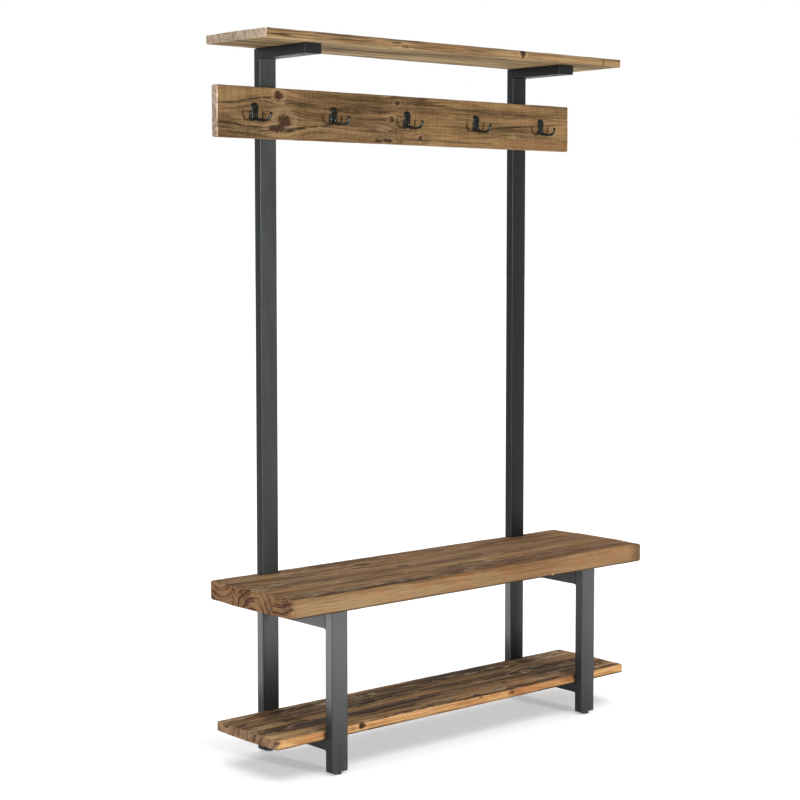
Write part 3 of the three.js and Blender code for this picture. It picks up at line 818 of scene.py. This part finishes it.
def steel():
    """Satin charcoal paint over brushed tube. The brushing runs along each tube. Painted reflections and shade vary
    the tone: lighter under the seat, darker above it and near the floor.

    Heights and places are in metres, masks from 0 to 1."""
    f = Finish("charcoal_steel")
    axes = f.split(f.place)
    _, across, up = axes
    post_low, post_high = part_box("right_post")
    leg_low, leg_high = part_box("right_leg")

    # Brushing: along the uprights, and across between them, where the bearers lie.
    lying = f.rise(across, leg_high.y, leg_high.y + MM) * f.rise(across, post_low.y, post_low.y - MM)
    upright = f.noise((240, 240, 4), 2, detail=3, rough=0.6)
    level = f.noise((240, 4, 240), 4, detail=3, rough=0.6)
    brush = upright + (level - upright) * lying
    cloud = f.noise((14, 14, 9), 6, detail=4, rough=0.6)
    colour = f.between(brush * 0.5 + cloud * 0.6, [(44, 46, 46), (60, 62, 61)], 0.3, 0.8)

    half = (post_high.x - post_low.x) / 2
    from_middle = f.math("ABSOLUTE", f.math("ABSOLUTE", axes[0]) - (post_low.x + post_high.x) / 2)
    aside = f.rise(from_middle, half - 1.5 * MM, half - 0.5 * MM)  # the sides that look left and right
    fore = 1 - aside
    on_right = f.rise(axes[0], -0.1, 0.1)
    on_left = 1 - on_right
    on_post = f.rise(across, 0.1, 0.14)
    on_leg = 1 - on_post
    on_arm = f.rise(across, 0.0, -0.04)
    below = f.rise(up + (cloud - 0.5) * 0.06, 0.45, 0.41)  # under the seat

    # Painted dark reflections above the seat: on the sides, on the right frame and on the arms' fronts
    dark_reflection = f.larger(f.larger(aside * 0.75, on_right * 0.95), on_arm * fore * 0.9) * (1 - below)
    colour = f.blend(dark_reflection, colour, tone(16, 18, 19))

    # Painted reflection of the pale floor: lighter paint under the seat, strongest on the tubes' sides, weaker on
    # the right leg's sides and on the fronts
    sides = aside * f.rise(up, 0.1, 0.2) * (f.rise(up, 0.15, 0.42) * 0.3 + 0.7)
    sides = sides * (1 - on_right * on_leg * 0.85) * (1 - on_post * on_left * 0.2)
    fronts = fore * f.rise(up, 0.0, 0.4) * (1 - on_right * 0.4) * (1 - on_post * 0.3) * 0.3
    colour = f.blend((sides + fronts) * below, colour, tone(138, 140, 139))
    # Painted light: the bearers' sides, in the seat's shade, are painted much lighter, less on the right frame
    bearer = f.rise(across, leg_high.y, leg_high.y + 4 * MM) * f.rise(across, post_low.y, post_low.y - 4 * MM)
    bearer = bearer * aside * f.rise(up, 0.3, 0.35) * below * (1 - on_right * 0.8)
    colour = f.blend(bearer * 0.9, colour, tone(228, 230, 233))

    # Painted shade: darker sides near the floor, and darker post fronts low down and on the right frame under the
    # seat
    colour = f.blend(aside * f.rise(up, 0.2, 0.1) * 0.6, colour, tone(30, 32, 33))
    shaded = f.larger(f.rise(up, 0.3, 0.12) * 0.8, on_right * below * 0.55)
    colour = f.blend(on_post * fore * shaded, colour, tone(24, 26, 26))

    # Painted shade: dark lines on the tubes' rounded corners under the seat
    half_depth = (post_high.y - post_low.y) / 2
    middle = (post_low.y + leg_low.y) / 2 + half_depth
    apart = (post_low.y - leg_low.y) / 2
    off_middle = f.math("ABSOLUTE", f.math("ABSOLUTE", across - middle) - apart)
    corner = f.rise(from_middle, half - 2.7 * MM, half - 2 * MM)
    corner = corner * f.rise(off_middle, half_depth - 2.7 * MM, half_depth - 1.9 * MM)
    colour = f.blend(corner * below * 0.8, colour, tone(34, 36, 37))

    rough = f.rise(brush * 0.4 + cloud * 0.6, 0.2, 0.8) * 0.16 + 0.36
    height = brush * 0.5 + cloud * 0.5
    return f.done(Base_Color=colour, Metallic=0.4, Roughness=rough, Normal=f.bump(height, 0.15 * MM, 0.35),
                  Specular_IOR_Level=0.3)


WELD = 5 * MM  # leg of the concave fillets
RIM_RADIUS = 2.5 * MM
ROUND_STEPS = 4
WALL = 2 * MM
ACCESS_RADIUS = 7.5 * MM
BOARD_BEARERS = {"seat": "seat_bearer", "shelf": "shelf_bearer", "top_shelf": "top_arm"}


def side_frame(side):
    """Post, leg, bearers and arm of one side, welded and ground into one frame."""
    post_low, post_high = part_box(f"{side}_post")
    leg_low, leg_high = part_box(f"{side}_leg")
    arm_low, arm_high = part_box(f"{side}_top_arm")
    tube = post_high.y - post_low.y
    shelf_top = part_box(f"{side}_shelf_bearer")[1].z
    shelf_bottom = shelf_top - tube
    seat_top = leg_high.z
    seat_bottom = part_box(f"{side}_seat_bearer")[0].z + WELD
    arm_bottom = arm_high.z - tube
    front = post_low.y

    def facing(start, end, depth=front):
        return lambda place, normal: normal.y < -0.5 and start < place.z < end and near(place.y, depth)

    piece = block(f"{side}_side_frame", post_low, (post_high.x, post_high.y, arm_high.z))
    saw(piece, 2, [shelf_bottom, shelf_top, seat_bottom, seat_top, arm_bottom])
    pull(piece, (0, arm_low.y - front, 0), facing(arm_bottom, arm_high.z))
    for bottom, top in ((shelf_bottom, shelf_top), (seat_bottom, seat_top)):
        pull(piece, (0, leg_high.y - front, 0), facing(bottom, top))
        pull(piece, (0, leg_low.y - leg_high.y, 0), facing(bottom, top, leg_high.y))
    pull(piece, (0, 0, leg_low.z - shelf_bottom),
         lambda place, normal: normal.z < -0.5 and near(place.z, shelf_bottom) and place.y < leg_high.y)
    choose(piece, "FACE", lambda place, normal: place.y < leg_high.y and (
        (normal.z > 0.5 and near(place.z, shelf_top)) or (normal.z < -0.5 and near(place.z, seat_bottom))))
    bpy.ops.mesh.bridge_edge_loops()
    bpy.ops.mesh.select_all(action="SELECT")
    bpy.ops.mesh.remove_doubles(threshold=MERGE)
    bpy.ops.mesh.normals_make_consistent(inside=False)
    close_edit()

    corners = [(leg_high.y, seat_bottom), (front, seat_bottom), (leg_high.y, shelf_bottom),
               (front, shelf_bottom), (front, arm_bottom)]
    bevel(piece, WELD, ROUND_STEPS, lambda place, way: abs(way.x) > 0.9
          and any(near(place.y, y) and near(place.z, z) for y, z in corners))
    bevel_side_rims(piece)
    drill_access_holes(piece, side, (post_low.x + post_high.x) / 2)
    return piece


def side_frames(material):
    left = side_frame("left")
    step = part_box("right_post")[0].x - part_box("left_post")[0].x
    right = copy_of(left, "right_side_frame", (step, 0, 0))
    for side, piece in zip(SIDES, (left, right)):
        replaced = [f"{side}_{part}" for part in ("post", "leg", "seat_bearer", "shelf_bearer", "top_arm")]
        finish_piece(piece, material, angle=30, replaced=replaced)


def bevel_side_rims(piece):
    """Rounds every edge between a flat side and the faces round it."""
    mesh = piece.data
    flat = {face.index for face in mesh.polygons if abs(face.normal.x) > 0.9}
    touching = {}
    for face in mesh.polygons:
        for key in face.edge_keys:
            touching.setdefault(key, []).append(face.index in flat)
    rims = {key for key, kinds in touching.items() if any(kinds) and not all(kinds)}
    ends = {tuple(sorted(key)) for key in rims}
    activate(piece)
    bpy.ops.object.mode_set(mode="EDIT")
    bpy.ops.mesh.select_mode(type="EDGE")
    bpy.ops.mesh.select_all(action="DESELECT")
    close_edit()
    for edge in mesh.edges:
        edge.select = tuple(sorted(edge.vertices)) in ends
    bpy.ops.object.mode_set(mode="EDIT")
    bpy.ops.mesh.bevel(offset=RIM_RADIUS, segments=ROUND_STEPS, affect="EDGES", clamp_overlap=True)
    close_edit()


def drill(name, centre, way, radius, depth):
    """A cylinder from the centre along an axis, to cut a round hole with."""
    deselect_all()
    bpy.ops.mesh.primitive_cylinder_add(vertices=32, radius=radius, depth=depth)
    tool = bpy.context.object
    tool.name = name
    tool.rotation_mode = "QUATERNION"
    tool.rotation_quaternion = Vector(way).to_track_quat("Z", "Y")
    tool.location = Vector(centre) + Vector(way) * (depth / 2)
    return settle(tool)


def drill_access_holes(piece, side, middle):
    """The holes behind the bolts, through which a socket reaches their heads."""
    past = 1 * MM  # how far the drill starts or ends outside the steel
    post_low, post_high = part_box(f"{side}_post")
    for end in ("upper", "lower"):
        low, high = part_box(f"{end}_{side}_rail_bolt")
        start = (middle, post_low.y + WALL, (low.z + high.z) / 2)
        depth = post_high.y - post_low.y - WALL + past
        cut(piece, drill("access", start, (0, 1, 0), ACCESS_RADIUS, depth))
    for board, bearer in BOARD_BEARERS.items():
        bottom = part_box(f"{side}_{bearer}")[0].z + WELD - past
        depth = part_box(f"{side}_{bearer}")[1].z - WALL - bottom
        for end in ("front", "rear"):
            low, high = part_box(f"{end}_{side}_{board}_bolt")
            cut(piece, drill("access", (middle, (low.y + high.y) / 2, bottom), (0, 0, 1), ACCESS_RADIUS, depth))


# ---- Coat hooks ----


def bronze():
    """Dark cast bronze with a fine, uneven skin."""
    f = Finish("antique_bronze")
    cloud = f.noise((180, 180, 180), 3, detail=4, rough=0.6)
    fine = f.noise((900, 900, 900), 5, detail=2)
    colour = f.between(cloud, [(18, 19, 16), (44, 46, 41)], 0.35, 0.7)
    rough = f.rise(cloud, 0.3, 0.7) * 0.16 + 0.2
    height = cloud + fine * 0.4
    return f.done(Base_Color=colour, Metallic=0.9, Roughness=rough, Normal=f.bump(height, 0.2 * MM, 0.4))


HOOK_MIDDLE = 1606 * MM
RIDGE = [(1.2, 2.6, 6), (4, 4, -15)]  # from the plate's middle down to the prong's root: aside, out and up, in mm
PRONG = [(4, 4, -15), (9, 7, -20), (34, 24, -26), (31, 25, -2)]  # control points of the bar, in the same way
RIDGE_STATIONS = 5
BAR_STATIONS = 16
RIDGE_RADIUS = 1.7  # in mm, as the two below
ROOT_RADIUS = 3.6
BAR_RADIUS = 3.2
TIP_RADIUS = 3.8 * MM
PLATE_TOP = (11 * MM, 13 * MM)  # radius and height over the plate's base point
PLATE_FOOT = (9 * MM, -11 * MM)
PLATE_THICKNESS = 3.4 * MM
PLATE_DOME = 1.6 * MM
SCREW_LIFTS = (15 * MM, 4 * MM)
SCREW_OUT = 3.3 * MM  # from the rail to the middle of a screw's head
SCREW_RADIUS = 3.3 * MM
SCREW_FLATTENING = 0.36
RECESS = (0.9, 4.2)  # width and length of each arm of the cross, in mm
RECESS_DEPTHS = (0.5, 2.2)
CASTING_GRAIN = 0.55 * MM


def curve_point(points, t):
    """A place on the smooth curve led by four control points, t from 0 to 1."""
    weights = ((1 - t) ** 3, 3 * t * (1 - t) ** 2, 3 * t * t * (1 - t), t**3)
    return Vector(sum(w * p[i] for w, p in zip(weights, points)) * MM for i in range(3))


def prong(name, base, sign):
    """A round bar that rises out of the plate as a ridge and turns up into a hook with a ball on its tip."""
    start, end = (Vector(p) * MM for p in RIDGE)
    growth = (BAR_RADIUS - RIDGE_RADIUS) / RIDGE_STATIONS
    stations = [(start.lerp(end, i / RIDGE_STATIONS), RIDGE_RADIUS + growth * i) for i in range(RIDGE_STATIONS)]
    for i in range(BAR_STATIONS + 1):
        t = i / BAR_STATIONS
        stations.append((curve_point(PRONG, t), ROOT_RADIUS - (ROOT_RADIUS - BAR_RADIUS) * min(1, 2.5 * t)))
    deselect_all()
    bpy.ops.curve.primitive_nurbs_path_add(location=(0, 0, 0))
    bar = bpy.context.object
    bar.name = name
    spline = bar.data.splines[0]
    spline.points.add(len(stations) - len(spline.points))
    for point, (place, radius) in zip(spline.points, stations):
        point.co = (*(base + Vector((sign * place.x, -place.y, place.z))), 1)
        point.radius = radius
    spline.use_endpoint_u = True
    spline.order_u = 4
    bar.data.bevel_depth = 1 * MM
    bar.data.bevel_resolution = 5
    bar.data.use_fill_caps = True
    bpy.ops.object.convert(target="MESH")
    bar = bpy.context.object
    tip = base + Vector((sign * stations[-1][0].x, -stations[-1][0].y, stations[-1][0].z))
    deselect_all()
    bpy.ops.mesh.primitive_uv_sphere_add(segments=24, ring_count=16, radius=TIP_RADIUS, location=tip)
    ball = bpy.context.object
    activate(bar, ball)
    bpy.ops.object.join()
    return bar


def hook_plate(name, base):
    """A tongue that narrows downwards, domed over its edge."""
    radius, top = PLATE_TOP
    foot_radius, foot = PLATE_FOOT
    deselect_all()
    bpy.ops.mesh.primitive_circle_add(vertices=48, radius=radius, fill_type="NGON", location=base)
    plate = bpy.context.object
    plate.name = name
    plate.rotation_euler = (math.pi / 2, 0, 0)
    settle(plate)
    for vertex in plate.data.vertices:
        if vertex.co.z >= base.z:
            vertex.co.z += top
        else:
            vertex.co.z = base.z + foot + (vertex.co.z - base.z) * foot_radius / radius
            vertex.co.x = base.x + (vertex.co.x - base.x) * foot_radius / radius
    choose(plate, "FACE", lambda place, normal: True)
    bpy.ops.mesh.extrude_region_move(TRANSFORM_OT_translate={"value": (0, -PLATE_THICKNESS, 0)})
    bpy.ops.mesh.select_all(action="SELECT")
    bpy.ops.mesh.normals_make_consistent(inside=False)
    close_edit()
    front = base.y - PLATE_THICKNESS
    bevel(plate, PLATE_DOME, ROUND_STEPS, lambda place, way: near(place.y, front))
    return plate


def screw(name, place):
    """A raised countersunk head with a cross recess."""
    deselect_all()
    bpy.ops.mesh.primitive_uv_sphere_add(segments=32, ring_count=16, radius=SCREW_RADIUS, location=place)
    head = bpy.context.object
    head.name = name
    head.scale = (1, SCREW_FLATTENING, 1)
    settle(head)
    shallow, deep = RECESS_DEPTHS
    for width, height in (RECESS, RECESS[::-1]):
        low = Vector(place) - Vector((width / 2, deep, height / 2)) * MM
        high = Vector(place) + Vector((width / 2, -shallow, height / 2)) * MM
        cut(head, block("recess", low, high))
    return head


def hook_base(i):
    """Where the back of a hook's plate meets the rail."""
    low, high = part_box(f"coat_hook_{i}")
    return Vector(((low.x + high.x) / 2, high.y, HOOK_MIDDLE))


def coat_hooks():
    """One casting and one screw are modelled on the first hook's place, and the rest are copied from them."""
    material = bronze()
    first = hook_base(1)
    casting = hook_plate("coat_hook_1_casting", first)
    parts = [prong(f"prong_{sign}", first, sign) for sign in (-1, 1)]
    activate(casting, *parts)
    bpy.ops.object.join()
    apply(casting, "REMESH", mode="VOXEL", voxel_size=CASTING_GRAIN)
    apply(casting, "SMOOTH", factor=0.5, iterations=6)
    upper = screw("coat_hook_1_screw_1", first + Vector((0, -SCREW_OUT, SCREW_LIFTS[0])))
    lower = copy_of(upper, "coat_hook_1_screw_2", (0, 0, SCREW_LIFTS[1] - SCREW_LIFTS[0]))
    for i in range(1, 6):
        made = [casting, upper, lower]
        if i > 1:
            names = (f"coat_hook_{i}_casting", f"coat_hook_{i}_screw_1", f"coat_hook_{i}_screw_2")
            made = [copy_of(piece, name, hook_base(i) - first) for piece, name in zip(made, names)]
        finish_piece(made[0], material, angle=60, replaced=[f"coat_hook_{i}"])
        for head in made[1:]:
            finish_piece(head, material, angle=40)


# ---- CAD nodes that stay, with their finishes ----


def plain(name, tones, metallic, rough, grain):
    """One even material; rough is the least and the most, and grain the bumps per metre."""
    f = Finish(name)
    cloud = f.noise((grain, grain, grain), 3, detail=3)
    colour = f.blend(cloud, *(tone(*levels) for levels in tones))
    least, most = rough
    return f.done(Base_Color=colour, Metallic=metallic, Roughness=cloud * (most - least) + least,
                  Normal=f.bump(cloud, 0.1 * MM, 0.4))


def dress_cad_nodes(paint):
    plastic = plain("black_plastic", [(30, 30, 31), (22, 22, 23)], metallic=0, rough=(0.45, 0.65), grain=700)
    zinc = plain("zinc_plate", [(172, 174, 176), (128, 130, 132)], metallic=0.9, rough=(0.25, 0.45), grain=300)
    for name, node in nodes.items():
        if node.hide_render:
            continue
        if name.endswith("_arm_cap"):
            material = paint
        elif name.endswith(("_foot_pad", "_foot_insert")):
            material = plastic
        else:
            material = zinc
        node.data.materials.clear()
        node.data.materials.append(material)


# ---- Floor, light and camera ----

SKY_LIGHT = 0.23  # what the world gives to surfaces
FLOOR_SIZE = 80
FLOOR_TONE = (0.95, 0.95, 0.95, 1)
FLOOR_GLOW = 0.4  # only seen directly; it lightens the shadow and gives surfaces nothing
WHITE = (1, 1, 1)
COOL = (0.84, 0.92, 1)
EYE = (-3.2163, -3.5379, 1.3024)
LENS = 83.03
TILT = -4.311  # degrees over the horizon
TURN = -41.093  # degrees from straight on
SHIFT = -0.03


def seen_directly(f):
    """1 on camera, glossy and transmission rays, and 0 on those that light surfaces."""
    rays = f.node("LightPath")
    reflected = f.larger(f.out(rays, "Is Glossy Ray"), f.out(rays, "Is Transmission Ray"))
    return f.larger(f.out(rays, "Is Camera Ray"), reflected)


def studio():
    deselect_all()
    bpy.ops.mesh.primitive_plane_add(size=FLOOR_SIZE, location=(0, 0, 0))
    floor = bpy.context.object
    floor.name = "floor"
    f = Finish("pale_floor")
    diffuse = f.node("BsdfDiffuse", {"Color": FLOOR_TONE})
    glow = f.node("Emission", {"Strength": seen_directly(f) * FLOOR_GLOW})
    both = f.node("AddShader", {0: f.out(diffuse), 1: f.out(glow)})
    f.node("OutputMaterial", {"Surface": f.out(both)})
    floor.data.materials.append(f.material)

    world = bpy.data.worlds.new("studio")
    bpy.context.scene.world = world
    f = Finish("studio", world)
    strength = f.out(f.node("MapRange", {"Value": seen_directly(f), "To Min": SKY_LIGHT, "To Max": 1}))
    background = f.node("Background", {"Color": (*WHITE, 1), "Strength": strength})
    f.node("OutputWorld", {"Surface": f.out(background)})


def sun(name, towards, strength, spread):
    """Even light from the direction of a point, as from a far soft box."""
    light = bpy.data.lights.new(name, "SUN")
    light.energy = strength
    light.angle = math.radians(spread)
    made = bpy.data.objects.new(name, light)
    bpy.context.scene.collection.objects.link(made)
    made.rotation_euler = Vector(towards).to_track_quat("Z", "Y").to_euler()


def soft_box(name, place, aim, power, size, colour):
    light = bpy.data.lights.new(name, "AREA")
    light.energy = power
    light.size = size
    light.shape = "DISK"
    light.color = colour
    made = bpy.data.objects.new(name, light)
    bpy.context.scene.collection.objects.link(made)
    made.location = place
    made.rotation_euler = (Vector(aim) - Vector(place)).to_track_quat("-Z", "Y").to_euler()
    return made


def camera():
    """Looks at the bench from the left front, a little downwards."""
    data = bpy.data.cameras.new("camera")
    data.sensor_width = 36
    data.lens = LENS
    data.shift_y = SHIFT
    eye = bpy.data.objects.new("camera", data)
    bpy.context.scene.collection.objects.link(eye)
    eye.location = EYE
    eye.rotation_euler = (math.radians(90 + TILT), 0, math.radians(TURN))
    bpy.context.scene.camera = eye


camera()
studio()
sun("top_light", towards=(0.0, -0.3, 2.0), strength=1.9, spread=65)
key_light = soft_box("key_light", (0.9, -7.0, 0.95), aim=(0, 0, 1.0), power=460, size=0.6, colour=WHITE)
key_light.visible_glossy = False
rim_light = soft_box("rim_light", (-6.0, -2.6, 1.6), aim=(0, 0, 1.2), power=1250, size=1.2, colour=COOL)
rim_light.visible_diffuse = False
bpy.context.scene.view_settings.view_transform = "Standard"

seat()
shelves()
hook_rail()
charcoal = steel()
side_frames(charcoal)
coat_hooks()
dress_cad_nodes(charcoal)
